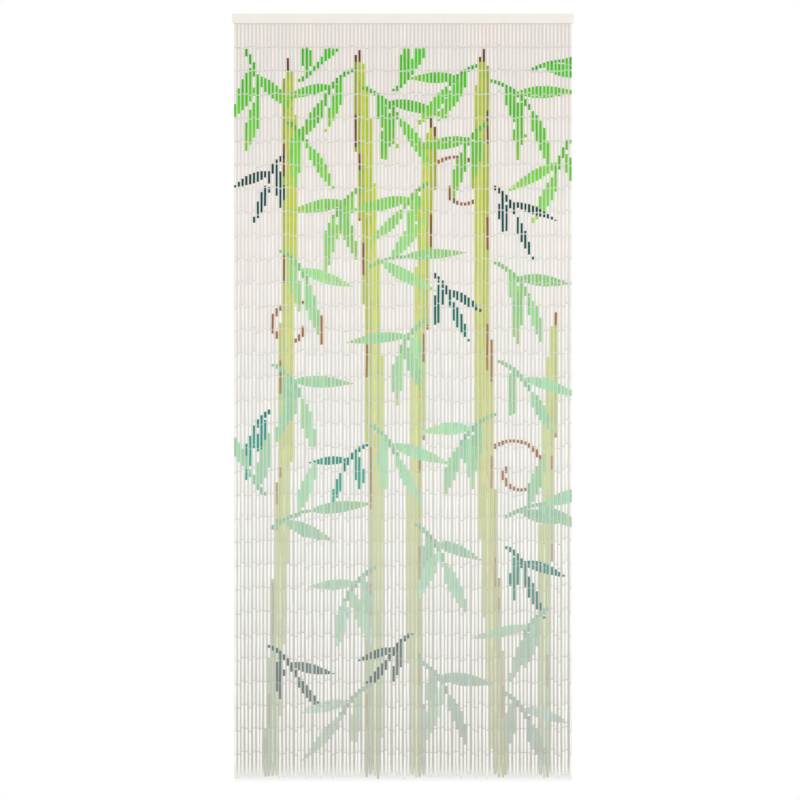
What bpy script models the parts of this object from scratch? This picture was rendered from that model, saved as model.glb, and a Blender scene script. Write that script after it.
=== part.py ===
"""Bamboo bead door curtain hanging from a painted wooden batten.

Frame: +Z up, +X along the batten, -Y towards the room the curtain faces.
The origin is the centre of the batten's flat back face, which lies against
the wall above the doorway, so the whole part has y between -depth and 0.
"""

import math

import bmesh
import bpy
import numpy as np

# Batten, in metres
BATTEN_WIDTH = 0.900
BATTEN_HEIGHT = 0.0254
BATTEN_DEPTH = 0.010
BATTEN_CORNER_R = 0.004  # the two lower corners, seen from the front
BATTEN_CORNER_STEPS = 5
BATTEN_EDGE = 0.0012  # chamfer along the upper edges

# The batten's underside is parted off as the strip that the strands root in
STRIP_HEIGHT = 0.0030
SEAM = 0.0003

# Strands
STRAND_COUNT = 90
STRAND_SPAN = 0.884  # centre of the first strand to centre of the last
TUBE_DIAMETER = 0.0060
TUBE_COUNT = 32  # tubes on each strand
TUBE_PITCH = 0.0620  # one tube with its wire link
LINK_GAP = 0.0018  # wire showing between two tubes
SEGMENTS = 8  # straight stretches that make one hanging strand

# How far a strand hangs off its plumb line, and how uneven the ends are
LEAN = 0.00085
BOW = 0.0005
SWAY_DEPTH = 0.0004
END_UNEVEN = 0.0046

PAINTED_WOOD = (0.90, 0.89, 0.86)
PAINTED_BAMBOO = (0.91, 0.90, 0.87)


def clear_scene():
    for obj in list(bpy.data.objects):
        bpy.data.objects.remove(obj, do_unlink=True)


def material(name, colour, roughness):
    mat = bpy.data.materials.new(name)
    mat.use_nodes = True
    shader = mat.node_tree.nodes["Principled BSDF"]
    shader.inputs["Base Color"].default_value = (*colour, 1.0)
    shader.inputs["Roughness"].default_value = roughness
    shader.inputs["Metallic"].default_value = 0.0
    return mat


def add_object(name, bm, mat):
    """Turns a bmesh into a named object with one material."""
    bmesh.ops.recalc_face_normals(bm, faces=bm.faces)
    mesh = bpy.data.meshes.new(name)
    bm.to_mesh(mesh)
    bm.free()
    mesh.materials.append(mat)
    obj = bpy.data.objects.new(name, mesh)
    bpy.context.scene.collection.objects.link(obj)
    return obj


def corner_inset(height):
    """How far the rounded lower corner draws the end in, this high above the underside."""
    drop = BATTEN_CORNER_R - height
    return BATTEN_CORNER_R - math.sqrt(BATTEN_CORNER_R**2 - drop**2)


def corner_points():
    """Points (inset, height above the underside) up the strip's rounded end."""
    last = math.acos((BATTEN_CORNER_R - STRIP_HEIGHT) / BATTEN_CORNER_R)
    angles = np.linspace(0.0, last, BATTEN_CORNER_STEPS + 1)
    return [
        (BATTEN_CORNER_R * (1 - math.sin(a)), BATTEN_CORNER_R * (1 - math.cos(a)))
        for a in angles
    ]


def strand_x(index):
    return -STRAND_SPAN / 2 + index * STRAND_SPAN / (STRAND_COUNT - 1)


def strand_end(index):
    """Depth of a strand's lowest point under the batten. Tube lengths vary, so the ends are ragged."""
    uneven = math.sin(1.7 * index + 0.3) + 0.8 * math.sin(4.3 * index + 2.1)
    return TUBE_COUNT * TUBE_PITCH - LINK_GAP + END_UNEVEN * uneven


def strand_offset(index, share):
    """Sideways and fore-and-aft offset of a strand, this share of the way down it."""
    lean = math.sin(2.4 * index + 0.7) + 0.6 * math.sin(5.1 * index + 1.9)
    bow = math.sin(3.7 * index + 0.4)
    sway = math.sin(2.9 * index + 1.1)
    sideways = LEAN * lean * share + BOW * bow * math.sin(math.pi * share)
    return sideways, SWAY_DEPTH * sway * share


def build_batten():
    """The slat above the seam: a long bar with square upper corners and rounded lower ones."""
    base = -BATTEN_HEIGHT / 2
    low = STRIP_HEIGHT + SEAM
    side = [(corner_inset(low), low), (0.0, BATTEN_CORNER_R), (0.0, BATTEN_HEIGHT)]
    left = [(-BATTEN_WIDTH / 2 + inset, base + height) for inset, height in side]
    right = [(-x, z) for x, z in reversed(left)]
    bm = bmesh.new()
    back = bm.faces.new([bm.verts.new((x, 0.0, z)) for x, z in left + right])
    front = bmesh.ops.extrude_face_region(bm, geom=[back])["geom"]
    moved = [v for v in front if isinstance(v, bmesh.types.BMVert)]
    bmesh.ops.translate(bm, verts=moved, vec=(0.0, -BATTEN_DEPTH, 0.0))
    top = [
        edge
        for edge in bm.edges
        if all(v.co.z > BATTEN_HEIGHT / 2 - SEAM for v in edge.verts)
        and abs(edge.verts[0].co.x - edge.verts[1].co.x) > BATTEN_DEPTH
    ]
    bmesh.ops.bevel(bm, geom=top, offset=BATTEN_EDGE, segments=2, affect="EDGES", profile=0.5)
    return bm


def strip_cuts():
    """X positions where the strip's underside is divided: both sides of each strand."""
    half = TUBE_DIAMETER / 2
    cuts = []
    for index in range(STRAND_COUNT):
        cuts += [strand_x(index) - half, strand_x(index) + half]
    return cuts


def build_strand_row():
    """The strip with a four-sided strand drawn down from it at each screw eye."""
    base = -BATTEN_HEIGHT / 2
    top = base + STRIP_HEIGHT
    middle = -BATTEN_DEPTH / 2
    half = TUBE_DIAMETER / 2
    rows = [0.0, middle + half, middle - half, -BATTEN_DEPTH]
    cuts = strip_cuts()
    bm = bmesh.new()
    under = [[bm.verts.new((x, y, base)) for y in rows] for x in cuts]
    upper = [[bm.verts.new((x, y, top)) for y in (rows[0], rows[-1])] for x in cuts]
    roots = []
    for n in range(len(cuts) - 1):
        a, b = under[n], under[n + 1]
        for r in range(len(rows) - 1):
            face = bm.faces.new([a[r], b[r], b[r + 1], a[r + 1]])
            if r == 1 and n % 2 == 0:
                roots.append(face)
        bm.faces.new([upper[n][0], upper[n + 1][0], upper[n + 1][1], upper[n][1]])
        bm.faces.new([a[0], b[0], upper[n + 1][0], upper[n][0]])
        bm.faces.new([a[3], b[3], upper[n + 1][1], upper[n][1]])
    for sign, lower, higher in ((-1, under[0], upper[0]), (1, under[-1], upper[-1])):
        close_strip_end(bm, sign, lower, higher, base)
    for index, root in enumerate(roots):
        draw_strand(bm, index, root)
    return bm


def close_strip_end(bm, sign, lower, higher, base):
    """Rounds one end of the strip, from its last cut out to the batten's end."""
    outline = [
        (sign * (BATTEN_WIDTH / 2 - inset), base + height)
        for inset, height in corner_points()
    ]
    back = [bm.verts.new((x, 0.0, z)) for x, z in outline]
    front = [bm.verts.new((x, -BATTEN_DEPTH, z)) for x, z in outline]
    bm.faces.new([*lower, front[0], back[0]])
    bm.faces.new([higher[0], higher[1], front[-1], back[-1]])
    bm.faces.new([lower[0], *back, higher[0]])
    bm.faces.new([lower[-1], *front, higher[1]])
    for n in range(len(outline) - 1):
        bm.faces.new([back[n], front[n], front[n + 1], back[n + 1]])


def draw_strand(bm, index, root):
    """Draws one root face down to its ragged end, a straight stretch at a time."""
    end = strand_end(index)
    was_x, was_y, was_depth = 0.0, 0.0, 0.0
    face = root
    for n in range(1, SEGMENTS + 1):
        share = n / SEGMENTS
        sideways, fore = strand_offset(index, share)
        drawn = bmesh.ops.extrude_discrete_faces(bm, faces=[face])["faces"][0]
        step = (sideways - was_x, fore - was_y, -(end * share - was_depth))
        bmesh.ops.translate(bm, verts=drawn.verts, vec=step)
        was_x, was_y, was_depth = sideways, fore, end * share
        face = drawn


def main():
    clear_scene()
    wood = material("painted_wood", PAINTED_WOOD, 0.45)
    bamboo = material("painted_bamboo", PAINTED_BAMBOO, 0.5)
    add_object("head_batten", build_batten(), wood)
    add_object("strand_row", build_strand_row(), bamboo)


main()
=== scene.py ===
import math

import bpy
import numpy as np
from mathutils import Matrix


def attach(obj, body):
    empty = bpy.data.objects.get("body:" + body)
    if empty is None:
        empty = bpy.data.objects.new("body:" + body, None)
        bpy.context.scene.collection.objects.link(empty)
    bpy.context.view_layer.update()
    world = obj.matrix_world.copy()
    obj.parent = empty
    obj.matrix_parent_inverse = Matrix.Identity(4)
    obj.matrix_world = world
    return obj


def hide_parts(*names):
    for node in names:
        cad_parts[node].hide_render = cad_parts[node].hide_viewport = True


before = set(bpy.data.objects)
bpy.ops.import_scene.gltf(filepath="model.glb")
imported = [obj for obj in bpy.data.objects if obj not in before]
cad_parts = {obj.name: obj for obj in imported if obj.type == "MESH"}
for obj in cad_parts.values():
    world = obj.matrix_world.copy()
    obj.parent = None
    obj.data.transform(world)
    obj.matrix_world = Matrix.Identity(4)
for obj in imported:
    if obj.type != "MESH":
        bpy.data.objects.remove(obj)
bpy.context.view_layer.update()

print("frame loaded")

# Everything is in metres: x along the batten, y towards the wall, z up.
# "depth" is the distance down from the batten's underside.


def toLinear(colour):
    # 0-255 screen colour to linear light
    c = np.asarray(colour, float) / 255.0
    return np.where(c <= 0.04045, c / 12.92, ((c + 0.055) / 1.055) ** 2.4)


def rgba(colour):
    return (*(float(c) for c in toLinear(colour)), 1.0)


# meshes from arrays
def buildPiece(name, points, faces, smooth, material):
    # faces is a list of index arrays, each with rows of three or four corners
    loops = np.concatenate([f.ravel() for f in faces]).astype(np.int32)
    sizes = np.concatenate([np.full(len(f), f.shape[1]) for f in faces])
    mesh = bpy.data.meshes.new(name)
    mesh.vertices.add(len(points))
    mesh.vertices.foreach_set("co", np.ascontiguousarray(points, np.float32).ravel())
    mesh.loops.add(len(loops))
    mesh.loops.foreach_set("vertex_index", loops)
    mesh.polygons.add(len(sizes))
    mesh.polygons.foreach_set("loop_start", (np.cumsum(sizes) - sizes).astype(np.int32))
    mesh.update(calc_edges=True)
    mesh.polygons.foreach_set("use_smooth", np.broadcast_to(smooth, len(sizes)).astype(bool))
    mesh.materials.append(material)
    piece = bpy.data.objects.new(name, mesh)
    bpy.context.scene.collection.objects.link(piece)
    return piece


def addCorners(piece, name, values):
    layer = piece.data.attributes.new(name, "FLOAT_COLOR", "CORNER")
    layer.data.foreach_set("color", np.ascontiguousarray(values, np.float32).ravel())


def addMap(piece, values):
    layer = piece.data.uv_layers.new(name="OFBake", do_init=False)
    layer.uv.foreach_set("vector", np.ascontiguousarray(values, np.float32).ravel())


def ringFaces(rings, sides):
    # quads between rings of sides points each, facing out when the rings go down
    ring = np.arange(rings - 1)[:, None] * sides
    side = np.arange(sides)[None, :]
    after = (side + 1) % sides
    return np.stack([ring + after, ring + side, ring + sides + side, ring + sides + after], -1)


# the batten
batten = {
    "width": 0.900,
    "height": 0.0254,
    "thick": 0.010,
    "cornerRadius": 0.0042,  # lower corners, seen from the front
    "edge": 0.0008,  # rounding along every edge
    "stations": 90,
    "edgeSteps": 5,
    "cornerSteps": 8,
    "sharpAngle": 40,
    "stretch": (16.0, 700.0, 700.0),  # of the grain, which runs along x
    "cloudMix": 0.35,
    "lineRange": (0.5, 1.0),
    "lineMix": 0.18,
    "wornSpots": (0.75, 1.0),
    "wornLines": (0.6, 1.0),
    "wornMix": 0.35,
    "roughness": (0.36, 0.5),
    "bump": (0.0002, 0.4),  # distance and strength
    "paint": (227, 224, 217),
    "palePaint": (236, 229, 219),
    "linePaint": (226, 219, 206),  # along the grain
    "wood": (206, 184, 148),
}


def battenSection():
    # rounded rectangle in y and height above the underside, anticlockwise seen from +x
    r, thick, high = batten["edge"], batten["thick"], batten["height"]
    corners = [(-thick + r, r, 180), (-r, r, 270), (-r, high - r, 0), (-thick + r, high - r, 90)]
    steps = np.radians(np.linspace(0, 90, batten["edgeSteps"] + 1))
    outline = [np.stack([y + r * np.cos(steps + math.radians(a)), z + r * np.sin(steps + math.radians(a))], 1)
               for y, z, a in corners]
    return np.concatenate(outline)


def buildBatten(material):
    # the section carried along x; near both ends its lower side lifts on an arc, and it shrinks
    # towards its middle over the last millimetre so that the end edges are eased
    half, high, ease = batten["width"] / 2, batten["height"], batten["edge"]
    radius = batten["cornerRadius"]
    section = battenSection()
    tip = half - ease * (1 - np.sin(np.linspace(0, math.pi / 2, batten["edgeSteps"] + 1)))
    side = np.concatenate([np.linspace(half - radius, half - ease, batten["cornerSteps"])[:-1], tip])
    inner = np.linspace(-half + radius, half - radius, batten["stations"])[1:-1]
    x = np.concatenate([-side[::-1], inner, side])
    past = np.clip(np.abs(x) - (half - radius), 0, radius)
    lift = radius - np.sqrt(np.maximum(radius**2 - past**2, 0))
    inset = ease - np.sqrt(np.maximum(ease**2 - np.clip(np.abs(x) - (half - ease), 0, ease) ** 2, 0))
    y = section[:, 0][None] * np.ones_like(x)[:, None]
    z = lift[:, None] + section[:, 1][None] * (high - lift[:, None]) / high
    middleY = -batten["thick"] / 2
    middleZ = (high + lift[:, None]) / 2
    y = middleY + (y - middleY) * (1 - inset[:, None] / (batten["thick"] / 2))
    z = middleZ + (z - middleZ) * (1 - inset[:, None] / (high / 2))
    points = np.stack([np.broadcast_to(x[:, None], y.shape), y, z - high / 2], -1)
    rings, sides = y.shape
    quads = ringFaces(rings, sides).reshape(-1, 4)[:, ::-1]
    caps = np.array([points[0].mean(0), points[-1].mean(0)])
    n = np.arange(sides)
    after = (n + 1) % sides
    last = (rings - 1) * sides
    left = np.stack([np.full(sides, rings * sides), after, n], -1)
    right = np.stack([np.full(sides, rings * sides + 1), last + n, last + after], -1)
    allPoints = np.concatenate([points.reshape(-1, 3), caps])
    piece = buildPiece("batten", allPoints, [quads, left, right], True, material)
    piece.data.set_sharp_from_angle(angle=math.radians(batten["sharpAngle"]))
    return piece


# where the strands hang, as in the frame
strand = {
    "count": 90,
    "span": 0.884,  # first strand to last
    "tubes": 32,
    "drop": 1.9822,  # mean length of a strand
    "gap": (0.0022, 0.0017),  # wire showing between two tubes, at the top and at the bottom
    "firstGap": 0.0020,
    "radius": 0.0030,
    "radiusSpread": 0.00011,
    "radiusLimit": 0.0003,
    "taper": 0.00008,
    "oval": 0.02,  # how far a tube is from round
    "bore": 0.0015,
    "boreDepth": 0.0030,
    "rim": 0.00035,  # how far each end is rounded in, and how far along the tube
    "rimDepth": 0.0008,
    "rimCut": 0.12,  # how much the rims look like cut ends
    "sides": 10,
    "lean": 0.00085,
    "bow": 0.0005,
    "sway": 0.0004,
    "endUneven": 0.0046,
    "lengthSpread": 0.0013,  # how much the tubes differ in length
    "jitter": 0.00030,  # how far a joint hangs off the strand's line
    "strandsPerPiece": 6,
    "cellShape": 3.4,  # columns to rows on the map of a piece, for tubes that are long and thin
    "cellMargin": 0.04,
    "seed": 7,
}


def strandX(index):
    return -strand["span"] / 2 + index * strand["span"] / (strand["count"] - 1)


def strandEnd(index):
    # the ends rise and fall on two sines of the strand's number, as in the frame
    uneven = np.sin(1.7 * index + 0.3) + 0.8 * np.sin(4.3 * index + 2.1)
    return strand["drop"] + strand["endUneven"] * uneven


def strandOffset(index, share):
    # sideways and fore and aft, this share of the way down: a lean, and a bow that ends on its line
    lean = np.sin(2.4 * index + 0.7) + 0.6 * np.sin(5.1 * index + 1.9)
    bow = np.sin(3.7 * index + 0.4)
    sideways = strand["lean"] * lean * share + strand["bow"] * bow * np.sin(math.pi * share)
    return sideways, strand["sway"] * np.sin(2.9 * index + 1.1) * share


def hangTubes():
    # ends of every tube as (strand, tube, x y depth), from a walk of uneven lengths pinned at both ends
    rng = np.random.default_rng(strand["seed"])
    n, tubes = strand["count"], strand["tubes"]
    index = np.arange(n)[:, None]
    share = np.arange(tubes + 1)[None, :] / tubes
    walk = np.cumsum(rng.normal(0, strand["lengthSpread"], (n, tubes + 1)), 1)
    walk -= walk[:, :1] + share * (walk[:, -1:] - walk[:, :1])
    gaps = np.interp(share[:, 1:], (0, 1), strand["gap"])
    low = strandEnd(index) + gaps[:, -1:]
    top = strand["firstGap"] + share * (low - strand["firstGap"]) + walk
    bottom = top[:, 1:] - gaps
    top = top[:, :-1]
    wander = rng.normal(0, strand["jitter"], (2, n, tubes + 1))
    wander[:, :, 0] = 0
    ends = []
    for depth, step in ((top, slice(0, -1)), (bottom, slice(1, None))):
        sideways, fore = strandOffset(index, depth / strandEnd(index))
        x = strandX(index) + sideways + wander[0][:, step]
        y = -batten["thick"] / 2 + fore + wander[1][:, step]
        ends.append(np.stack([x, y, depth], -1))
    return ends


def below(points):
    # (x, y, depth) to (x, y, z)
    return np.stack([points[..., 0], points[..., 1], -batten["height"] / 2 - points[..., 2]], -1)


# the print
pattern = {
    "rowStep": 0.001,
    "rows": 2010,
    "firstDepth": 0.066,  # the top row of tubes is bare
    # each ink fades down the curtain: (depth, red, green, blue)
    "leafInk": [(0.06, 58, 188, 0), (0.24, 80, 195, 8), (0.42, 112, 202, 62), (0.60, 141, 212, 132),
                (0.90, 159, 219, 172), (1.30, 170, 216, 181), (1.70, 196, 219, 204), (2.00, 199, 208, 198)],
    "reedInk": [(0.06, 168, 194, 0), (0.50, 180, 199, 42), (0.65, 191, 205, 98), (0.95, 199, 210, 136),
                (1.40, 208, 214, 171), (1.75, 210, 217, 192), (2.00, 204, 210, 188)],
    "edgeInk": [(0.06, 96, 54, 6), (0.60, 132, 96, 28), (1.00, 168, 146, 92),
                (1.50, 192, 188, 158), (2.00, 197, 199, 178)],
    "darkInk": [(0.06, 4, 50, 50), (0.55, 6, 76, 76), (0.95, 20, 136, 120),
                (1.30, 92, 174, 156), (1.65, 118, 138, 132), (2.00, 132, 136, 132)],
    "dotInk": [(0.06, 128, 80, 44), (1.00, 160, 116, 86), (2.00, 186, 172, 156)],
    # tall blades: (tip x, tip depth, foot x, bow, width)
    "blades": [
        (-0.302, 0.090, -0.352, 0.018, 0.038),
        (-0.118, 0.066, -0.080, 0.026, 0.045),
        (0.078, 0.240, 0.040, -0.024, 0.038),
        (0.212, 0.066, 0.262, -0.022, 0.045),
        (0.402, 0.760, 0.376, -0.012, 0.032),
    ],
    # sprays, each a bent stem with leaves by turns on both sides:
    # (ink, foot x, foot depth, heading, stem length, curl, leaves)
    "sprays": [
        ("leafInk", -0.415, 0.070, 58, 0.130, 34, 4),
        ("leafInk", -0.128, 0.120, 158, 0.110, -46, 3),
        ("leafInk", -0.100, 0.170, 22, 0.120, 40, 4),
        ("leafInk", 0.196, 0.110, 160, 0.090, -30, 3),
        ("leafInk", 0.232, 0.150, 14, 0.130, 44, 4),
        ("leafInk", -0.270, 0.150, -34, 0.070, -16, 2),
        ("leafInk", -0.020, 0.175, -38, 0.060, -20, 2),
        ("leafInk", 0.345, 0.120, -28, 0.070, 20, 2),
        ("leafInk", -0.298, 0.262, 36, 0.070, 30, 2),
        ("leafInk", 0.222, 0.262, 148, 0.090, -34, 3),
        ("leafInk", 0.438, 0.310, 122, 0.090, -20, 3),
        ("darkInk", -0.316, 0.350, 140, 0.080, -40, 3),
        ("darkInk", 0.240, 0.430, 32, 0.090, 40, 3),
        ("leafInk", 0.066, 0.420, 150, 0.090, -34, 3),
        ("leafInk", -0.104, 0.430, 152, 0.110, -36, 4),
        ("leafInk", -0.086, 0.640, -30, 0.090, 26, 3),
        ("leafInk", -0.318, 0.600, 30, 0.100, 40, 3),
        ("leafInk", 0.246, 0.630, 26, 0.120, 40, 4),
        ("darkInk", 0.080, 0.660, 40, 0.080, 30, 3),
        ("leafInk", 0.060, 0.780, 146, 0.110, -36, 4),
        ("leafInk", 0.256, 0.890, 24, 0.110, 40, 3),
        ("leafInk", -0.338, 0.900, 30, 0.110, 40, 4),
        ("darkInk", -0.348, 1.020, 150, 0.070, -40, 2),
        ("leafInk", 0.240, 1.030, 160, 0.120, -46, 4),
        ("leafInk", -0.080, 1.060, 34, 0.100, 34, 3),
        ("darkInk", -0.098, 1.110, 150, 0.090, -36, 3),
        ("leafInk", -0.365, 1.240, -132, 0.070, 20, 2),
        ("leafInk", 0.272, 1.300, -32, 0.110, 26, 4),
        ("leafInk", -0.346, 1.330, -38, 0.110, 26, 3),
        ("darkInk", 0.276, 1.380, 34, 0.080, 40, 3),
        ("leafInk", 0.036, 1.320, 34, 0.120, 40, 4),
        ("leafInk", -0.070, 1.430, 150, 0.120, -36, 4),
        ("leafInk", 0.384, 1.540, 150, 0.100, -40, 3),
        ("darkInk", 0.020, 1.610, 150, 0.080, -36, 3),
        ("leafInk", 0.046, 1.680, 30, 0.110, 40, 4),
        ("darkInk", -0.350, 1.640, 30, 0.100, 36, 3),
        ("leafInk", -0.084, 1.740, 152, 0.110, -36, 3),
        ("leafInk", 0.264, 1.760, 30, 0.100, 36, 3),
    ],
    "leafLength": (0.130, 0.172),
    "leafWidth": 0.031,
    "leafWide": (0.85, 1.1),
    "leafBend": (-0.16, 0.04),
    "leafTone": (0.86, 1.12),
    "darkLeaf": 0.8,  # the dark leaves are smaller
    "firstLeaf": 0.35,  # where leaves start along a stem
    "tipSwing": 12,  # degrees that the leaf at the tip may turn
    "sideSwing": (36, 56),
    # a leaf yellows from this share of its length on, at a pace of its own, up to a limit
    "yellowFrom": 0.55,
    "yellowPace": (0.3, 1.5),
    "yellowMost": 0.7,
    "lineTall": 0.006,  # of the stems and of the dots
    "stemTone": 0.8,
    # blades: depth over which they widen, darkening at two depths, and its strength in red, green and blue
    "bladeGrow": 0.16,
    "shadeFrom": -0.2,  # how far across the blade its darkening starts
    "bladeShade": ((0.1, 1.0), (0.42, 0.08)),
    "shadeHue": (0.9, 1.0, 0.6),
    "streak": (-0.1, 0.2, 1.1),  # middle and half width across the blade, and tone
    "wornEdge": 0.5,  # how far across the blade its wear starts
    "wornFrom": 0.35,
    "brownTip": 0.035,
    "rimClear": 0.0004,  # no edge of the print comes nearer than this to a rounded rim
    # how differently the strands take the ink, in tone and in warmth
    "strandTone": 0.05,
    "strandWarmth": 0.022,
    # share of the ink that reaches the tubes' rims and the wires, at two depths
    "rimInk": ((0.2, 1.1), (0.25, 0.9)),
    # dotted curls: (centre x, centre depth, radius, from degrees, to degrees)
    "curls": [
        (0.150, 0.430, 0.100, 150, 540),
        (-0.290, 0.800, 0.085, 30, -360),
        (0.300, 1.180, 0.100, 160, 560),
    ],
    "curlShrink": 0.72,
    "curlSteps": 900,
    "seed": 11,
}


def inkAt(ink, depth):
    # the ink's colour at these depths, straight between its named stops
    stops = np.array(pattern[ink], float)
    return np.stack([toLinear(np.interp(depth, stops[:, 0], stops[:, n])) for n in (1, 2, 3)], -1)


def leafMask(x, depth, baseX, baseDepth, heading, length, width, bend):
    # a lens on a bent centre line: half width = width/2 * sin(pi * t^0.8), t from base to tip
    turn = math.radians(heading)
    dx, dd = x - baseX, depth - baseDepth
    t = (dx * math.cos(turn) + dd * math.sin(turn)) / length
    inside = np.clip(t, 0.0, 1.0)
    across = dd * math.cos(turn) - dx * math.sin(turn) - bend * length * inside**2
    half = width / 2 * np.sin(math.pi * inside**0.8)
    return (np.abs(across) < half) & (t > 0) & (t < 1)


def bladeSide(x, depth, tipX, tipDepth, footX, bow, width):
    # distance from a bowed centre line, as a share of a half width that grows from the tip
    foot = pattern["rows"] * pattern["rowStep"]
    t = np.clip((depth - tipDepth) / (foot - tipDepth), 0.0, 1.0)
    centre = tipX + (footX - tipX) * t + bow * np.sin(math.pi * t)
    half = width / 2 * np.sqrt(np.clip((depth - tipDepth) / pattern["bladeGrow"], 0.0, 1.0))
    return (x - centre) / np.maximum(half, 1e-6)


def stemLine(x, depth, heading, length, curl, steps=200):
    # points and headings along an arc that turns by curl degrees from foot to tip
    turn = np.radians(heading + curl * np.linspace(0.0, 1.0, steps))
    stride = length / (steps - 1)
    px = x + np.concatenate([[0], np.cumsum(np.cos(turn[:-1]) * stride)])
    pd = depth + np.concatenate([[0], np.cumsum(np.sin(turn[:-1]) * stride)])
    return px, pd, np.degrees(turn)


def lineMask(x, px, pd, tall):
    # rows within half of tall of a line, on the strands that the line passes over
    mask = np.zeros(x.shape, bool)
    column = np.rint((px - x[0, 0]) / (x[1, 0] - x[0, 0])).astype(int)
    row = np.rint(pd / pattern["rowStep"]).astype(int)
    reach = int(tall / 2 / pattern["rowStep"])
    near = (column >= 0) & (column < len(x)) & (row > reach) & (row < x.shape[1] - reach)
    for step in range(-reach, reach + 1):
        mask[column[near], row[near] + step] = True
    return mask


def stamp(layers, mask, colour):
    # every stamp has its own number, so that its edges can be found along each strand
    numbers, colours = layers
    numbers[mask] = numbers.max() + 1
    colours[mask] = np.broadcast_to(colour, colours.shape)[mask]


def stampSpray(layers, x, depth, spray, rng):
    # a bent stem, leaves on its sides by turns, and one leaf at its tip
    ink, footX, footDepth, heading, length, curl, leaves = spray
    dark = ink == "darkInk"
    scale = pattern["darkLeaf"] if dark else 1.0
    px, pd, turn = stemLine(footX, footDepth, heading, length, curl)
    shade = inkAt(ink, depth)
    stamp(layers, lineMask(x, px, pd, pattern["lineTall"]), shade * pattern["stemTone"])
    side = -1 if curl > 0 else 1
    for share in np.linspace(pattern["firstLeaf"], 1.0, leaves):
        n = int(share * (len(px) - 1))
        side = -side
        swing = pattern["tipSwing"]
        atTip = share == 1.0
        lean = turn[n] + (rng.uniform(-swing, swing) if atTip else side * rng.uniform(*pattern["sideSwing"]))
        leaf = rng.uniform(*pattern["leafLength"]) * scale
        wide = pattern["leafWidth"] * rng.uniform(*pattern["leafWide"]) * scale
        # each leaf turns a little yellower towards its tip
        near = np.hypot(x - px[n], depth - pd[n])[..., None] / leaf
        past = np.clip(near - pattern["yellowFrom"], 0, 1)
        yellow = 0.0 if dark else past * rng.uniform(*pattern["yellowPace"])
        colour = shade + (inkAt("reedInk", depth) - shade) * np.clip(yellow, 0, pattern["yellowMost"])
        colour = colour * rng.uniform(*pattern["leafTone"])
        bend = side * rng.uniform(*pattern["leafBend"])
        stamp(layers, leafMask(x, depth, px[n], pd[n], lean, leaf, wide, bend), colour)


def stampBlade(layers, x, depth, blade):
    # a tall blade with a lighter streak, a brown tip and brown wear along one edge
    tipDepth, bow = blade[1], blade[3]
    side = bladeSide(x, depth, *blade)
    mask = (np.abs(side) < 1) & (depth > tipDepth)
    turned = side * (1 if bow < 0 else -1)
    # one side of the blade is printed in a darker olive, above all near the top
    shade = np.clip(turned - pattern["shadeFrom"], 0, 1) * np.interp(depth, *pattern["bladeShade"])
    ink = inkAt("reedInk", depth) * (1 - shade[..., None] * pattern["shadeHue"])
    stamp(layers, mask, ink)
    middle, reach, tone = pattern["streak"]
    stamp(layers, mask & (np.abs(turned - middle) < reach), ink * tone)
    # the wear comes and goes with two sines of depth, which differ from blade to blade
    worn = np.sin(depth * 21 + blade[0] * 40) + 0.6 * np.sin(depth * 47 + x * 90)
    brown = inkAt("edgeInk", depth)
    stamp(layers, mask & (turned > pattern["wornEdge"]) & (worn > pattern["wornFrom"]), brown)
    stamp(layers, mask & (depth < tipDepth + pattern["brownTip"]), brown)


def printPattern():
    # the print as it lies on the strands: a stamp number and a colour for each strand and row
    rng = np.random.default_rng(pattern["seed"])
    depth = np.arange(pattern["rows"]) * pattern["rowStep"]
    x, depth = np.broadcast_arrays(strandX(np.arange(strand["count"]))[:, None], depth[None, :])
    layers = np.zeros(x.shape, int), np.zeros((*x.shape, 3))
    share = np.linspace(0.0, 1.0, pattern["curlSteps"])
    for middleX, middleDepth, radius, start, end in pattern["curls"]:
        turn = np.radians(start + (end - start) * share)
        reach = radius * (1 - pattern["curlShrink"] * share)
        px, pd = middleX + reach * np.cos(turn), middleDepth + reach * np.sin(turn)
        stamp(layers, lineMask(x, px, pd, pattern["lineTall"]), inkAt("dotInk", depth))
    for blade in pattern["blades"]:
        stampBlade(layers, x, depth, blade)
    for spray in pattern["sprays"]:
        stampSpray(layers, x, depth, spray, rng)
    layers[0][depth < pattern["firstDepth"]] = 0
    tone = 1 + rng.normal(0, pattern["strandTone"], (len(x), 1, 1))
    warmth = rng.normal(0, pattern["strandWarmth"], (len(x), 1, 1))
    return layers[0], layers[1] * tone * (1 + warmth * [1, 0, -2])


def rimShare(depth):
    # the share of the print's ink that the rims and wires at this depth have taken
    return np.interp(depth, *pattern["rimInk"])


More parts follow.
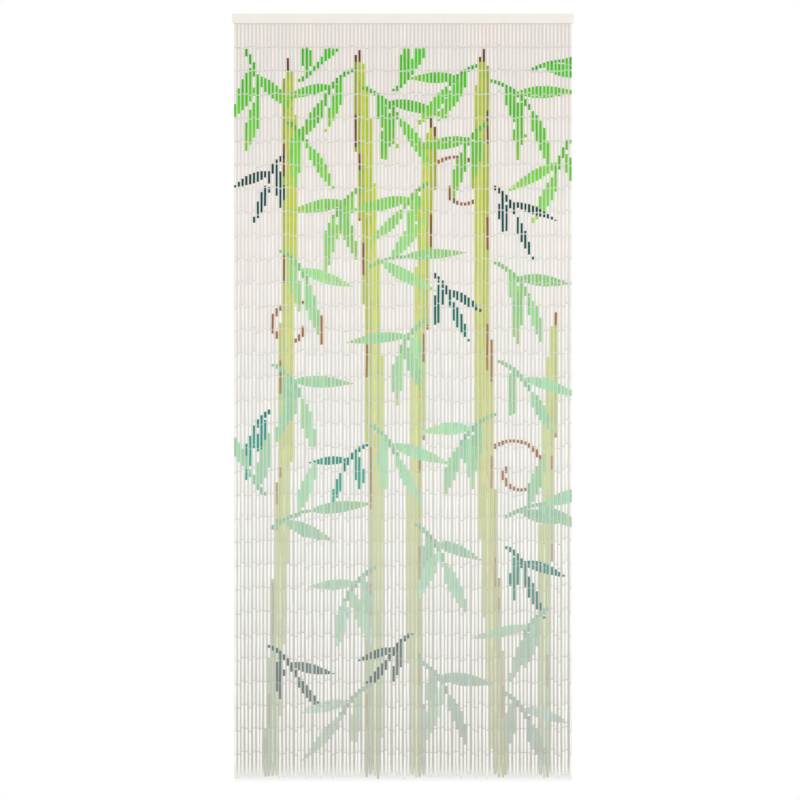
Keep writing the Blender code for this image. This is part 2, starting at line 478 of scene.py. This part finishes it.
# the tubes
def tubeBatch(tops, bottoms, cuts, inks, marks, cells, rng):
    # tubes with the same number of painted lengths: rings down from one bore to the other,
    # radius r(ring) about the straight line between the tube's ends, and a cone into each bore
    n, sides, limit = len(tops), strand["sides"], strand["radiusLimit"]
    rim, rimDepth = strand["rim"], strand["rimDepth"]
    radius = strand["radius"] + rng.normal(0, strand["radiusSpread"], n).clip(-limit, limit)
    taper = rng.normal(0, strand["taper"], n)
    span = bottoms[:, 2:] - tops[:, 2:]
    zero, bore = np.zeros((n, 1)), np.full((n, 1), strand["bore"])
    down = np.concatenate([zero, zero, zero + rimDepth, cuts - tops[:, 2:], span - rimDepth, span, span], 1)
    share = down / span
    wide = radius[:, None] + taper[:, None] * (share - 0.5)
    size = np.concatenate([bore, wide[:, 1:2] - rim, wide[:, 2:-2], wide[:, -2:-1] - rim, bore], 1)
    rings = size.shape[1]
    angle = np.arange(sides) * 2 * math.pi / sides + rng.uniform(0, 1, n)[:, None]
    middle = tops[:, None, :] + (bottoms - tops)[:, None, :] * share[..., None]
    oval = 1 + rng.normal(0, strand["oval"], n)[:, None, None]
    px = middle[:, :, None, 0] + size[..., None] * np.cos(angle)[:, None, :] * oval
    py = middle[:, :, None, 1] + size[..., None] * np.sin(angle)[:, None, :] / oval
    pz = np.broadcast_to(middle[:, :, None, 2], px.shape)
    wall = np.stack([px, py, pz], -1).reshape(n, -1, 3)
    deep = strand["boreDepth"] / span
    pits = np.stack([tops + (bottoms - tops) * deep, bottoms + (tops - bottoms) * deep], 1)
    points = np.concatenate([wall, pits], 1)
    start = np.arange(n)[:, None, None, None] * points.shape[1]
    quads = ringFaces(rings, sides)[None] + start
    side = np.arange(sides)
    after = (side + 1) % sides
    last = (rings - 1) * sides
    upper = np.stack([np.full(sides, rings * sides), side, after], -1)
    lower = np.stack([last + after, last + side, np.full(sides, rings * sides + 1)], -1)
    tris = np.stack([upper, lower])[None] + start
    smooth = np.ones((n, rings - 1, sides), bool)
    smooth[:, [0, -1]] = False
    ink, pitInk = tubeInk(tops, bottoms, inks)
    finish, pitFinish = tubeFinish(marks, rings)
    uvs, pitUvs = tubeMap(down, size, cells)
    rows = {"points": points, "quads": quads, "tris": tris, "ink": ink, "pitInk": pitInk,
            "finish": finish, "pitFinish": pitFinish, "uvs": uvs, "pitUvs": pitUvs}
    rows = {name: values.reshape(-1, values.shape[-1]) for name, values in rows.items()}
    return {**rows, "smooth": smooth.ravel()}


def tubeInk(tops, bottoms, inks):
    # the ink at the upper and lower edge of every band between two rings, and none in the bores
    n, sides = len(tops), strand["sides"]
    bare = np.zeros((n, 1, 4))
    firstRim, lastRim = inks[:, :1, 0].copy(), inks[:, -1:, 1].copy()
    firstRim[..., 3] *= rimShare(tops[:, 2:])
    lastRim[..., 3] *= rimShare(bottoms[:, 2:])
    upper, lower = (np.concatenate([bare, firstRim, inks[:, :, edge], lastRim, bare], 1) for edge in (0, 1))
    ink = np.stack([upper, upper, lower, lower], 2)[:, :, None]
    ink = np.broadcast_to(ink, (n, upper.shape[1], sides, 4, 4))
    return ink, np.zeros((n, 2, sides, 3, 4))


def tubeFinish(marks, rings):
    # how much each band is a cut end, and the tube's own tone and hue
    n, sides = len(marks), strand["sides"]
    cut = np.zeros(rings - 1)
    cut[[0, -1]] = 1.0
    cut[[1, -2]] = strand["rimCut"]
    finish = np.empty((n, rings - 1, sides, 4, 4))
    finish[..., 0] = cut[None, :, None, None]
    finish[..., 1:] = marks[:, None, None, None, :]
    pitFinish = np.ones((n, 2, sides, 3, 4))
    pitFinish[..., 1:] = marks[:, None, None, None, :]
    return finish, pitFinish


def tubeMap(down, size, cells):
    # each tube is unrolled onto its own cell of the piece's map, by distance along its outline
    n, sides = len(down), strand["sides"]
    pit = math.hypot(strand["boreDepth"], strand["bore"])
    slant = np.hypot(np.diff(down, axis=1), np.diff(size, axis=1))
    zero, one = np.zeros((n, 1)), np.ones((n, 1))
    along = pit + np.concatenate([zero, np.cumsum(slant, 1)], 1)
    v = 1 - along / (along[:, -1:] + pit)
    side = np.arange(sides)
    u0, u1 = side / sides, (side + 1) / sides
    middle = (u0 + u1) / 2
    uvs = np.empty((n, down.shape[1] - 1, sides, 4, 2))
    uvs[..., 0] = np.stack([u1, u0, u0, u1], -1)
    uvs[..., 1] = np.stack([v[:, :-1], v[:, :-1], v[:, 1:], v[:, 1:]], -1)[:, :, None, :]
    pitUvs = np.empty((n, 2, sides, 3, 2))
    pitUvs[:, 0, ..., 0] = np.stack([middle, u0, u1], -1)
    pitUvs[:, 0, ..., 1] = np.stack([one, v[:, :1], v[:, :1]], -1)
    pitUvs[:, 1, ..., 0] = np.stack([u1, u0, middle], -1)
    pitUvs[:, 1, ..., 1] = np.stack([v[:, -1:], v[:, -1:], zero], -1)
    corner, cell = cells
    corner = corner[:, None, None, None]
    return corner + uvs * cell, corner + pitUvs * cell


def paintedLengths(index, top, bottom, layers):
    # where the print changes along one tube: the cuts, and the ink just inside both ends of each length
    numbers, colours = layers
    step, rim = pattern["rowStep"], strand["rimDepth"] + pattern["rimClear"]
    first, last = int(math.ceil((top + rim) / step)), int((bottom - rim) / step)
    rows = numbers[index, first:last + 1]
    changes = np.flatnonzero(np.diff(rows)) + first + 1
    cuts = changes * step
    starts = np.concatenate([[first], changes])
    stops = np.concatenate([changes - 1, [last]])
    ends = np.stack([starts, stops], 1)
    ink = np.concatenate([colours[index, ends], (numbers[index, ends] > 0)[..., None]], -1)
    return cuts, ink


def buildStrands(layers, ends, material):
    # one piece for every few strands, each from batches of tubes with equally many painted lengths
    tops, bottoms = ends
    rng = np.random.default_rng(strand["seed"] + 1)
    pieces = []
    for start in range(0, strand["count"], strand["strandsPerPiece"]):
        which = range(start, min(start + strand["strandsPerPiece"], strand["count"]))
        tubes = [(i, k) for i in which for k in range(strand["tubes"])]
        found = [paintedLengths(i, tops[i, k, 2], bottoms[i, k, 2], layers) for i, k in tubes]
        lengths = np.array([len(ink) for _, ink in found])
        columns = math.ceil(math.sqrt(len(tubes) * strand["cellShape"]))
        rows = math.ceil(len(tubes) / columns)
        cell = np.array([1 / columns, 1 / rows])
        order = np.arange(len(tubes))
        margin = strand["cellMargin"]
        corner = (np.stack([order % columns, order // columns], 1) + margin) * cell
        marks = rng.uniform(0, 1, (len(tubes), 3))
        batches = []
        for count in np.unique(lengths):
            at = np.flatnonzero(lengths == count)
            i, k = np.array(tubes)[at].T
            cuts = np.array([found[n][0] for n in at]).reshape(len(at), count - 1)
            inks = np.array([found[n][1] for n in at])
            batches.append(tubeBatch(tops[i, k], bottoms[i, k], cuts, inks, marks[at],
                                     (corner[at], cell * (1 - 2 * margin)), rng))
        pieces.append(joinBatches(f"strands_{start // strand['strandsPerPiece'] + 1:02d}", batches, material))
    return pieces


def joinBatches(name, batches, material):
    shift = np.cumsum([0] + [len(b["points"]) for b in batches])
    quads = np.concatenate([b["quads"] + s for b, s in zip(batches, shift)])
    tris = np.concatenate([b["tris"] + s for b, s in zip(batches, shift)])
    smooth = np.concatenate([b["smooth"] for b in batches] + [np.zeros(len(tris), bool)])
    points = below(np.concatenate([b["points"] for b in batches]))
    piece = buildPiece(name, points, [quads, tris], smooth, material)
    for layer, pit in (("ink", "pitInk"), ("finish", "pitFinish")):
        addCorners(piece, layer, np.concatenate([b[layer] for b in batches] + [b[pit] for b in batches]))
    addMap(piece, np.concatenate([b["uvs"] for b in batches] + [b["pitUvs"] for b in batches]))
    return piece


# the wire links
link = {
    "ring": 0.00105,
    "wire": 0.00045,
    "steps": 8,  # round the ring, and round the wire
    "sides": 4,
    "slack": 0.00002,  # between two hooked eyes
    "turn": 0.5,  # how differently the joints face
    "offSquare": 0.06,  # how far two hooked eyes are from square to each other
    "tilt": 0.05,
    "strandsPerPiece": 30,
    "seed": 19,
    # less rubbing on the eyes at the batten, and whiter paint there as painted light against its shade
    "battenWearAndLight": 0.2,
    "inkFrom": 0.002,  # how far inside its tube a wire's print is read
    "paint": (250, 248, 243),
    "shadedPaint": (238, 235, 229),
    "metal": (112, 108, 102),
    "brightMetal": (138, 134, 128),
    "noise": (420.0, 3.0),  # scale and detail
    "rubMix": 0.55,
    "lowHeights": (-0.3, -1.3),
    "lowPaint": 0.18,  # how much less is rubbed off low down
    "worn": (0.76, 1.04),
    "roughness": (0.5, 0.36),  # of the paint and of the metal
    "metallic": 0.85,
}


def eyeRings(centres, turns, tilts):
    # torus points: the ring's plane holds the z axis and is turned about it, then tilted a little,
    # and the ring has a flat at its top and bottom, where another one hooks in
    a = (np.arange(link["steps"]) + 0.5) * 2 * math.pi / link["steps"]
    b = np.arange(link["sides"]) * 2 * math.pi / link["sides"]
    a, b = np.meshgrid(a, b, indexing="ij")
    out = link["ring"] + link["wire"] * np.cos(b)
    flat = np.stack([out * np.cos(a), link["wire"] * np.sin(b), out * np.sin(a)], -1).reshape(-1, 3)
    across = flat[None, :, 0] * np.cos(turns)[:, None] - flat[None, :, 1] * np.sin(turns)[:, None]
    fore = flat[None, :, 0] * np.sin(turns)[:, None] + flat[None, :, 1] * np.cos(turns)[:, None]
    down = flat[None, :, 2] + across * tilts[:, None]
    return centres[:, None] + np.stack([across, fore, down], -1)


def inkOnWire(layers, which, depth):
    # the print's colour at these strands and depths, with the share of it on the wire as its alpha
    numbers, colours = layers
    row = np.rint(depth / pattern["rowStep"]).astype(int).clip(0, pattern["rows"] - 1)
    cover = (numbers[which, row] > 0) * rimShare(depth)
    return np.concatenate([colours[which, row], cover[..., None]], -1).reshape(-1, 4)


def buildLinks(layers, ends, material):
    # at each joint the eye of the upper tube's wire hooks through the eye of the lower one's, square
    # to it, and the two hang taut: their middles are twice the ring's inner radius apart, less a wire
    tops, bottoms = ends
    rng = np.random.default_rng(link["seed"])
    taut = 2 * (link["ring"] * math.cos(math.pi / link["steps"]) - link["wire"]) - link["slack"]
    gap = tops[:, 1:, 2] - bottoms[:, :-1, 2]
    clear = (np.concatenate([gap[:, :1], gap, gap[:, -1:]], 1) - taut) / 2
    down = clear[..., None] * [0, 0, 1]
    # the quads of one eye: a chain of rings whose last ring is its first
    steps, sides = link["steps"], link["sides"]
    eyeFaces = ringFaces(steps + 1, sides)[..., [1, 2, 3, 0]].reshape(-1, 4) % (steps * sides)
    pieces = []
    for start in range(0, strand["count"], link["strandsPerPiece"]):
        stop = start + link["strandsPerPiece"]
        under = (bottoms + down[:, 1:])[start:stop].reshape(-1, 3)
        over = (tops - down[:, :-1])[start:stop].reshape(-1, 3)
        hooks = over[::strand["tubes"]] - [0, 0, taut]  # the screw eyes in the batten
        centres = np.concatenate([under, over, hooks])
        joint = rng.normal(0, link["turn"], (stop - start, strand["tubes"] + 1))
        turns = np.concatenate([joint[:, 1:].ravel(), joint[:, :-1].ravel() + math.pi / 2, joint[:, 0]])
        turns += rng.normal(0, link["offSquare"], len(turns))
        tilts = rng.normal(0, link["tilt"], len(centres))
        points = eyeRings(centres, turns, tilts)
        faces = eyeFaces[None] + np.arange(len(centres))[:, None, None] * steps * sides
        name = f"wire_links_{start // link['strandsPerPiece'] + 1}"
        piece = buildPiece(name, below(points.reshape(-1, 3)), [faces.reshape(-1, 4)], True, material)
        marks = np.ones((len(centres), steps * sides * 4, 4))
        marks[..., :3] = rng.uniform(0, 1, (len(centres), 1, 3))
        # the eyes at the batten are rubbed the least, and their whiter paint is also painted light against
        # the shade under the batten
        atBatten = np.concatenate([len(under) + np.arange(0, len(over), strand["tubes"]),
                                   len(under) + len(over) + np.arange(len(hooks))])
        marks[atBatten, :, 0] *= link["battenWearAndLight"]
        addCorners(piece, "finish", marks)
        which = np.arange(start, stop)[:, None]
        inks = np.concatenate([inkOnWire(layers, which, bottoms[start:stop, :, 2] - link["inkFrom"]),
                               inkOnWire(layers, which, tops[start:stop, :, 2] + link["inkFrom"]),
                               np.zeros((len(hooks), 4))])
        addCorners(piece, "ink", np.repeat(inks, steps * sides * 4, 0))
        pieces.append(piece)
    return pieces


# nodes for the materials
def newMaterial(name):
    material = bpy.data.materials.new(name)
    material.use_nodes = True
    tree = material.node_tree
    return material, tree, tree.nodes["Principled BSDF"]


def addNode(tree, kind, **values):
    node = tree.nodes.new(kind)
    for name, value in values.items():
        setattr(node, name, value)
    return node


def feed(tree, node, values):
    # links each socket to its node, or sets a plain value
    for name, value in values.items():
        if isinstance(value, bpy.types.NodeSocket):
            tree.links.new(value, node.inputs[name])
        else:
            node.inputs[name].default_value = value
    return node.outputs


def mixColours(tree, factor, first, second, blend="MIX"):
    node = addNode(tree, "ShaderNodeMix", data_type="RGBA", blend_type=blend)
    return feed(tree, node, {0: factor, 6: first, 7: second})[2]


def combine(tree, operation, *values):
    node = addNode(tree, "ShaderNodeMath", operation=operation)
    return feed(tree, node, dict(enumerate(values)))[0]


def spread(tree, value, low, high, toLow=0.0, toHigh=1.0):
    node = addNode(tree, "ShaderNodeMapRange")
    return feed(tree, node, dict(enumerate((value, low, high, toLow, toHigh))))[0]


def between(tree, share, ends):
    # from the first of the ends, where share is 0, to the second, where it is 1
    return spread(tree, share, 0.0, 1.0, *ends)


def addNoise(tree, vector, scale, detail=2.0):
    node = addNode(tree, "ShaderNodeTexNoise")
    return feed(tree, node, {"Vector": vector, "Scale": scale, "Detail": detail})["Fac"]


def objectPlace(tree):
    return addNode(tree, "ShaderNodeTexCoord").outputs["Object"]


def objectHeight(tree):
    return feed(tree, addNode(tree, "ShaderNodeSeparateXYZ"), {0: objectPlace(tree)})["Z"]


def readColour(tree, name):
    return addNode(tree, "ShaderNodeAttribute", attribute_name=name).outputs


def readFinish(tree):
    # the three numbers that every band of a tube and every eye of a wire holds
    return feed(tree, addNode(tree, "ShaderNodeSeparateColor"), {0: readColour(tree, "finish")["Color"]})


def hideWhere(tree, hidden, shown):
    # clear wherever hidden is 1
    clear = addNode(tree, "ShaderNodeBsdfTransparent").outputs[0]
    mixed = feed(tree, addNode(tree, "ShaderNodeMixShader"), {0: hidden, 1: shown, 2: clear})[0]
    tree.links.new(mixed, tree.nodes["Material Output"].inputs["Surface"])


grainLook = {
    "lineDetail": 4.0,
    "clouds": (45.0, 2.0),  # scale and detail
    "spots": (620.0, 3.0),
    "softRange": (0.3, 0.7),
    "spotRange": (0.45, 0.75),
    "spotHeight": 0.35,
}


def paintGrainGroup():
    # paint over wood: fine lines along the grain, soft clouds of tone, and small rubbed spots
    group = bpy.data.node_groups.new("paintGrain", "ShaderNodeTree")
    for name in ("Vector", "Stretch"):
        group.interface.new_socket(name=name, in_out="INPUT", socket_type="NodeSocketVector")
    for name in ("Lines", "Clouds", "Spots", "Height"):
        group.interface.new_socket(name=name, in_out="OUTPUT", socket_type="NodeSocketFloat")
    place, stretch = group.nodes.new("NodeGroupInput").outputs[:2]
    stretched = addNode(group, "ShaderNodeVectorMath", operation="MULTIPLY")
    stretched = feed(group, stretched, {0: place, 1: stretch})[0]
    lines = addNoise(group, stretched, 1.0, grainLook["lineDetail"])
    clouds = addNoise(group, place, *grainLook["clouds"])
    spots = addNoise(group, place, *grainLook["spots"])
    feed(group, group.nodes.new("NodeGroupOutput"), {
        "Lines": spread(group, lines, *grainLook["softRange"]),
        "Clouds": spread(group, clouds, *grainLook["softRange"]),
        "Spots": spread(group, spots, *grainLook["spotRange"]),
        "Height": combine(group, "MULTIPLY_ADD", spots, grainLook["spotHeight"], lines)})
    return group


def addGrain(tree, group, stretch):
    grain = addNode(tree, "ShaderNodeGroup", node_tree=group)
    return feed(tree, grain, {"Vector": objectPlace(tree), "Stretch": stretch})


def addBump(tree, height, distance, strength):
    bump = addNode(tree, "ShaderNodeBump")
    return feed(tree, bump, {"Height": height, "Distance": distance, "Strength": strength})[0]


bambooPaint = {
    "top": (235, 230, 225),  # the coat is a little creamier at the top, and darker there as painted shade
    "low": (248, 248, 244),
    "warm": (246, 230, 212),
    "cool": (224, 225, 222),
    "raw": (218, 202, 174),
    "stretch": (1500.0, 1500.0, 34.0),  # of the grain, which runs along z
    # the ink's own mottling: what its colour is multiplied by where it lies cooler, and warmer
    "inkCool": (0.78, 0.97, 1.0, 1.0),
    "inkWarm": (1.30, 1.02, 0.4, 1.0),
    "heights": (-0.1, -1.4),  # z at which the top and the low looks are reached
    "lean": (0.36, 0.09),  # how far tubes lean warm or cool, at the top and low down
    "warmHue": (0.45, 1.0),  # the tubes' own numbers that make them warm
    "coolHue": (0.35, 0.0),
    "coatInInk": (0.0, 0.01),
    "lineTone": (0.94, 1.04),
    "tubeTone": (0.97, 1.03),
    "endWood": (0.3, 0.9),
    "chips": (0.82, 1.0, 0.0, 0.45),  # spots from this strong on show this much wood
    "specular": 0.12,
    "roughness": (0.42, 0.58),
    "bump": (0.00012, 0.35),  # distance and strength
}


def bambooMaterial(group):
    look = bambooPaint
    material, tree, shader = newMaterial("paintedBamboo")
    grain = addGrain(tree, group, look["stretch"])
    ink = readColour(tree, "ink")
    cut, tone, hue = readFinish(tree)
    # the coat darkens towards the top: a cream tint, and painted shade
    height = spread(tree, objectHeight(tree), *look["heights"])
    coat = mixColours(tree, height, rgba(look["top"]), rgba(look["low"]))
    # each tube leans a little warm or cool, most of all near the top, and light or dark
    lean = between(tree, height, look["lean"])
    warm = combine(tree, "MULTIPLY", spread(tree, hue, *look["warmHue"]), lean)
    cool = combine(tree, "MULTIPLY", spread(tree, hue, *look["coolHue"]), lean)
    coat = mixColours(tree, warm, coat, rgba(look["warm"]))
    coat = mixColours(tree, cool, coat, rgba(look["cool"]))
    mottle = mixColours(tree, grain["Clouds"], look["inkCool"], look["inkWarm"])
    mottle = mixColours(tree, height, mottle, (1.0, 1.0, 1.0, 1.0))
    inkColour = mixColours(tree, 1.0, ink["Color"], mottle, "MULTIPLY")
    printed = mixColours(tree, ink["Alpha"], coat, inkColour)
    # in the clouds a trace of the coat shows through the ink
    trace = combine(tree, "MULTIPLY", ink["Alpha"], between(tree, grain["Clouds"], look["coatInInk"]))
    printed = mixColours(tree, trace, printed, coat)
    lines = between(tree, grain["Lines"], look["lineTone"])
    shade = combine(tree, "MULTIPLY", lines, between(tree, tone, look["tubeTone"]))
    shades = feed(tree, addNode(tree, "ShaderNodeCombineColor"), {0: shade, 1: shade, 2: shade})[0]
    toned = mixColours(tree, 1.0, printed, shades, "MULTIPLY")
    # the wood shows on the cut ends, and in specks where the coat is chipped
    bareEnd = combine(tree, "MULTIPLY", cut, between(tree, grain["Spots"], look["endWood"]))
    chips = spread(tree, grain["Spots"], *look["chips"])
    colour = mixColours(tree, combine(tree, "MAXIMUM", bareEnd, chips), toned, rgba(look["raw"]))
    feed(tree, shader, {"Base Color": colour, "Specular IOR Level": look["specular"],
                        "Roughness": between(tree, grain["Lines"], look["roughness"]),
                        "Normal": addBump(tree, grain["Height"], *look["bump"])})
    return material


def woodMaterial(group):
    material, tree, shader = newMaterial("paintedWood")
    grain = addGrain(tree, group, batten["stretch"])
    clouds = between(tree, grain["Clouds"], (0.0, batten["cloudMix"]))
    coat = mixColours(tree, clouds, rgba(batten["paint"]), rgba(batten["palePaint"]))
    lines = spread(tree, grain["Lines"], *batten["lineRange"], 0.0, batten["lineMix"])
    coat = mixColours(tree, lines, coat, rgba(batten["linePaint"]))
    # the coat is rubbed thin where spots and lines are both strong
    worn = combine(tree, "MULTIPLY", spread(tree, grain["Spots"], *batten["wornSpots"]),
                   spread(tree, grain["Lines"], *batten["wornLines"]))
    worn = combine(tree, "MULTIPLY", worn, batten["wornMix"])
    feed(tree, shader, {"Base Color": mixColours(tree, worn, coat, rgba(batten["wood"])),
                        "Roughness": between(tree, grain["Clouds"], batten["roughness"]),
                        "Normal": addBump(tree, grain["Height"], *batten["bump"])})
    return material


def wireMaterial():
    # wire painted along with the tubes, rubbed back to dull metal where two eyes meet
    material, tree, shader = newMaterial("linkWire")
    wear, tone, metalTone = readFinish(tree)
    dull = addNoise(tree, objectPlace(tree), *link["noise"])
    rubbed = combine(tree, "MULTIPLY_ADD", wear, link["rubMix"], dull)
    kept = spread(tree, objectHeight(tree), *link["lowHeights"], 0.0, link["lowPaint"])
    worn = spread(tree, combine(tree, "SUBTRACT", rubbed, kept), *link["worn"])
    ink = readColour(tree, "ink")
    paint = mixColours(tree, tone, rgba(link["paint"]), rgba(link["shadedPaint"]))
    paint = mixColours(tree, ink["Alpha"], paint, ink["Color"])
    metal = mixColours(tree, metalTone, rgba(link["metal"]), rgba(link["brightMetal"]))
    feed(tree, shader, {"Base Color": mixColours(tree, worn, paint, metal),
                        "Roughness": between(tree, worn, link["roughness"]),
                        "Metallic": between(tree, worn, (0.0, link["metallic"]))})
    return material


# stage, light and camera
stage = {
    "cardGap": 0.014,  # glowing grey card behind the strands, whose greys are painted shade in the gaps
    "cardShadeTones": [(0.0, 219, 214, 209), (0.11, 222, 217, 212), (0.27, 228, 224, 220), (0.62, 216, 215, 210),
                  (0.79, 204, 203, 198), (0.94, 193, 191, 184), (1.0, 193, 191, 184)],
    "cardTop": -0.008,
    "cardSide": 0.0018,  # past the middles of the outer strands
    "cardTail": 0.019,  # below the mean end of the strands
    "cardFade": 0.050,
    "fadePower": 1.2,
    "cardRows": 200,
    "cardBounceTint": 0.6,  # how much of the print's hue is painted on the card behind it as bounced light
    "tintReach": 6,  # rows of the print above and below that it is averaged over
    "floorDrop": 2.07,  # the floor, just under the camera's view
    "floorSize": (2.4, 3.2, 0.1),  # half its width, and how far it runs before and behind the curtain
    "floorTones": ((226, 224, 220), (236, 234, 231)),
    "floorClouds": 1.5,
    "floorRoughness": 0.8,
}


def shadeCardMaterial(top, bottom):
    # shows from the front alone, glowing in greys that darken downwards as painted shade behind the strands,
    # and fades out at its lower edge
    material, tree, shader = newMaterial("paintedShadeCard")
    tree.nodes.remove(shader)
    z = objectHeight(tree)
    ramp = addNode(tree, "ShaderNodeValToRGB")
    tones = stage["cardShadeTones"]
    while len(ramp.color_ramp.elements) < len(tones):
        ramp.color_ramp.elements.new(0.5)
    for element, (share, *tone) in zip(ramp.color_ramp.elements, tones):
        element.position = share
        element.color = rgba(tone)
    grey = feed(tree, ramp, {0: spread(tree, z, top, bottom)})[0]
    # the print's colour, as if bounced onto the card, is painted on as well
    shadeWithBounce = mixColours(tree, 1.0, grey, readColour(tree, "bounceTint")["Color"], "MULTIPLY")
    # the card glows with its own light: its greys are painted shade, and it is no lamp
    paintedShadeGlow = feed(tree, addNode(tree, "ShaderNodeEmission"), {"Color": shadeWithBounce})[0]
    facing = addNode(tree, "ShaderNodeNewGeometry")
    fade = spread(tree, z, bottom + stage["cardFade"], bottom)
    fade = combine(tree, "POWER", fade, stage["fadePower"])
    hideWhere(tree, combine(tree, "MAXIMUM", facing.outputs["Backfacing"], fade), paintedShadeGlow)
    return material


def floorMaterial():
    # pale, faintly clouded, and seen from above alone
    material, tree, shader = newMaterial("paleFloor")
    clouds = addNoise(tree, objectPlace(tree), stage["floorClouds"])
    dark, light = (rgba(tone) for tone in stage["floorTones"])
    feed(tree, shader, {"Base Color": mixColours(tree, clouds, dark, light),
                        "Roughness": stage["floorRoughness"]})
    facing = addNode(tree, "ShaderNodeNewGeometry")
    hideWhere(tree, facing.outputs["Backfacing"], shader.outputs[0])
    return material


def paintedBounceOnCard(layers, z):
    # painted bounce light: the hue of the nearest print, as strong as its ink is bright, averaged with its
    # neighbours
    numbers, colours = layers
    bright = colours.max(-1, keepdims=True)
    bounceTint = 1 - stage["cardBounceTint"] * (numbers > 0)[..., None] * (bright - colours)
    row = np.rint((-z - batten["height"] / 2) / pattern["rowStep"]).astype(int)
    reach = stage["tintReach"]
    near = np.clip(row[:, None] + np.arange(-reach, reach + 1), 0, pattern["rows"] - 1)
    bounceTint = bounceTint[:, near].mean(2)
    bounceTint[1:-1] = (bounceTint[:-2] + 2 * bounceTint[1:-1] + bounceTint[2:]) / 4
    return np.concatenate([bounceTint[:1], bounceTint, bounceTint[-1:]])


def buildCard(layers):
    # a flat grid with one column at each strand, which carries the painted bounce light
    wide = strand["span"] / 2 + stage["cardSide"]
    bottom = -batten["height"] / 2 - strand["drop"] - stage["cardTail"]
    x = np.concatenate([[-wide], strandX(np.arange(strand["count"])), [wide]])
    z = np.linspace(stage["cardTop"], bottom, stage["cardRows"])
    x, z = np.broadcast_arrays(x[:, None], z[None, :])
    points = np.stack([x, np.full(x.shape, stage["cardGap"]), z], -1).reshape(-1, 3)
    columns, rows = x.shape
    corner = (np.arange(columns - 1)[:, None] * rows + np.arange(rows - 1)).ravel()
    faces = np.stack([corner + 1, corner + rows + 1, corner + rows, corner], 1)
    card = buildPiece("paintedShadeBackdrop", points, [faces], False, shadeCardMaterial(0.0, bottom))
    bounceTint = paintedBounceOnCard(layers, z[0]).reshape(-1, 3)[faces.ravel()]
    addCorners(card, "bounceTint", np.concatenate([bounceTint, np.ones((len(bounceTint), 1))], 1))


def buildStage(layers):
    buildCard(layers)
    half, front, back = stage["floorSize"]
    z = -stage["floorDrop"]
    corners = np.array([(-half, -front, z), (half, -front, z), (half, back, z), (-half, back, z)])
    buildPiece("floor", corners, [np.array([[0, 1, 2, 3]])], False, floorMaterial())


studio = {
    "surround": 0.72,
    "aim": (0.0, 0.0, -1.0),
    "lampSize": (1.6, 2.0),
    # each lamp's place and power
    "key": ((2.8, -3.4, 0.3), 56),
    "fill": ((-2.4, -3.8, 0.3), 44),
}


def addArea(name, place, aim, size, power):
    light = bpy.data.lights.new(name, "AREA")
    light.shape = "RECTANGLE"
    light.size, light.size_y = size
    light.energy = power
    lamp = bpy.data.objects.new(name, light)
    bpy.context.scene.collection.objects.link(lamp)
    way = np.array(aim, float) - np.array(place, float)
    lamp.location = place
    turn = math.atan2(way[1], way[0]) - math.pi / 2
    lamp.rotation_euler = (math.acos(-way[2] / np.linalg.norm(way)), 0.0, turn)


def buildLight():
    # the camera sees a pure white surround, which lights the curtain more softly than that
    world = bpy.data.worlds.new("paleStudio")
    world.use_nodes = True
    tree = world.node_tree
    ray = addNode(tree, "ShaderNodeLightPath")
    strength = between(tree, ray.outputs["Is Camera Ray"], (studio["surround"], 1.0))
    feed(tree, tree.nodes["Background"], {"Color": (1.0, 1.0, 1.0, 1.0), "Strength": strength})
    bpy.context.scene.world = world
    for name in ("key", "fill"):
        place, power = studio[name]
        addArea(name + "Light", place, studio["aim"], studio["lampSize"], power)


lens = {
    "focal": 200.0,
    "sensor": 36.0,
    "pixel": 0.002635,  # metres in a pixel of the photograph, at the strands
    "frame": 800,
    "battenTop": 13.9,  # pixel row of the batten's top
    "battenMiddle": 402.85,  # pixel column of its middle
    "far": 100.0,
}


def buildCamera():
    across = lens["pixel"] * lens["frame"]
    distance = across * lens["focal"] / lens["sensor"]
    middle = lens["frame"] / 2
    x = (middle - lens["battenMiddle"]) * lens["pixel"]
    z = batten["height"] / 2 - (middle - lens["battenTop"]) * lens["pixel"]
    data = bpy.data.cameras.new("camera")
    data.lens, data.sensor_width = lens["focal"], lens["sensor"]
    data.clip_end = lens["far"]
    camera = bpy.data.objects.new("camera", data)
    camera.location = (x, -batten["thick"] / 2 - distance, z)
    camera.rotation_euler = (math.pi / 2, 0.0, 0.0)
    bpy.context.scene.collection.objects.link(camera)
    bpy.context.scene.camera = camera


def finishPiece(piece, node):
    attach(piece, "root")
    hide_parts(node)


layers = printPattern()
print("pattern laid out,", int(layers[0].max()), "stamps")
ends = hangTubes()
grainGroup = paintGrainGroup()
finishPiece(buildBatten(woodMaterial(grainGroup)), "head_batten")
print("batten built")
for piece in buildStrands(layers, ends, bambooMaterial(grainGroup)):
    finishPiece(piece, "strand_row")
print("strands built")
for piece in buildLinks(layers, ends, wireMaterial()):
    finishPiece(piece, "strand_row")
print("wire links built")
buildStage(layers)
buildLight()
buildCamera()
scene = bpy.context.scene
scene.view_settings.view_transform = "Standard"
scene.view_settings.look = "None"
print("stage, light and camera set")
